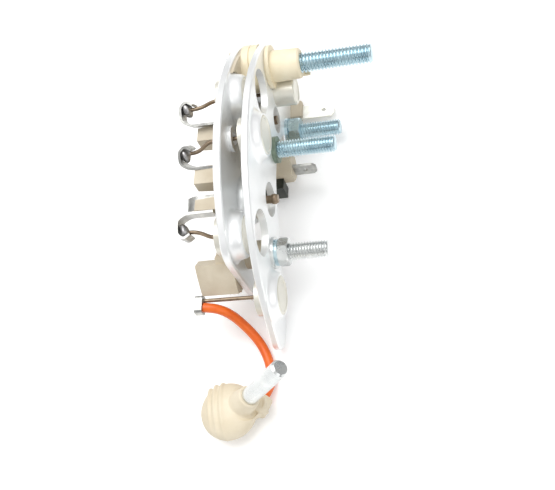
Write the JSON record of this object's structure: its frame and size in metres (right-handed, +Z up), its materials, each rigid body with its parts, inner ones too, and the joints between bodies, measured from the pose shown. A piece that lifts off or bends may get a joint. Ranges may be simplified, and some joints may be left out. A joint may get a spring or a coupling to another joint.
{
  "type": "alternator rectifier",
  "caption": "Crescent double-plate rectifier with pressed diodes, terminal studs, solder hooks, blade tabs and a loose pin lead.",
  "frame": {"origin": "centre of the bounding box in X and Y without the loose lead, on the plane that the two crescents stand on", "axes": "+X along the studs, +Y along the crescents' chord towards the power stud, +Z up from the chord to the crown"},
  "size_m": [0.0536, 0.1258, 0.045],
  "materials": {
    "fin": "satin, as stamped",
    "can": "satin nickel plate",
    "resin": "matte",
    "zinc_steel": "bright zinc plate",
    "tinned": "satin tin plate",
    "moulding": "matte, slightly soiled",
    "dark_seal": "matte",
    "copper": "dull, tarnished",
    "orange_sleeve": "satin"
  },
  "bodies": {
    "root": {"stud_side_fin": "fin", "hook_side_fin": "fin", "stud_diode_1_can": "can", "stud_diode_1_resin": "resin", "stud_diode_2_can": "can", "stud_diode_2_resin": "resin", "stud_diode_3_can": "can", "stud_diode_3_resin": "resin", "hook_diode_1_can": "can", "hook_diode_1_resin": "resin", "hook_diode_2_can": "can", "hook_diode_2_resin": "resin", "hook_diode_3_can": "can", "hook_diode_3_resin": "resin", "hook_diode_4_can": "can", "hook_diode_4_resin": "resin", "power_stud": "zinc_steel", "stud_a": "zinc_steel", "stud_b": "zinc_steel", "stud_c": "zinc_steel", "power_insulating_washer": "moulding", "stud_b_washer": "zinc_steel", "stud_b_nut": "zinc_steel", "stud_c_plain_washer": "zinc_steel", "stud_c_spring_washer": "zinc_steel", "stud_c_nut": "zinc_steel", "stud_a_ring": "dark_seal", "spacer_a": "moulding", "spacer_c": "moulding", "power_bush": "moulding", "power_shield": "moulding", "power_collar": "moulding", "terminal_moulding": "moulding", "blade_holder": "moulding", "blade_terminal_1": "tinned", "blade_terminal_2": "tinned", "bridge_pad": "dark_seal", "tie_pins": "copper", "solder_hook_1": "tinned", "solder_hook_2": "tinned", "solder_hook_3": "tinned", "solder_hook_4": "tinned", "lead_1": "copper", "lead_2": "copper", "lead_3": "copper", "lead_4": "copper", "lead_5": "copper", "lead_6": "copper", "lead_7": "copper", "lead_crimp": "tinned", "loose_wire": "orange_sleeve", "wire_end_insulator": "moulding", "wire_end_pin": "zinc_steel"}
  },
  "joints": []
}
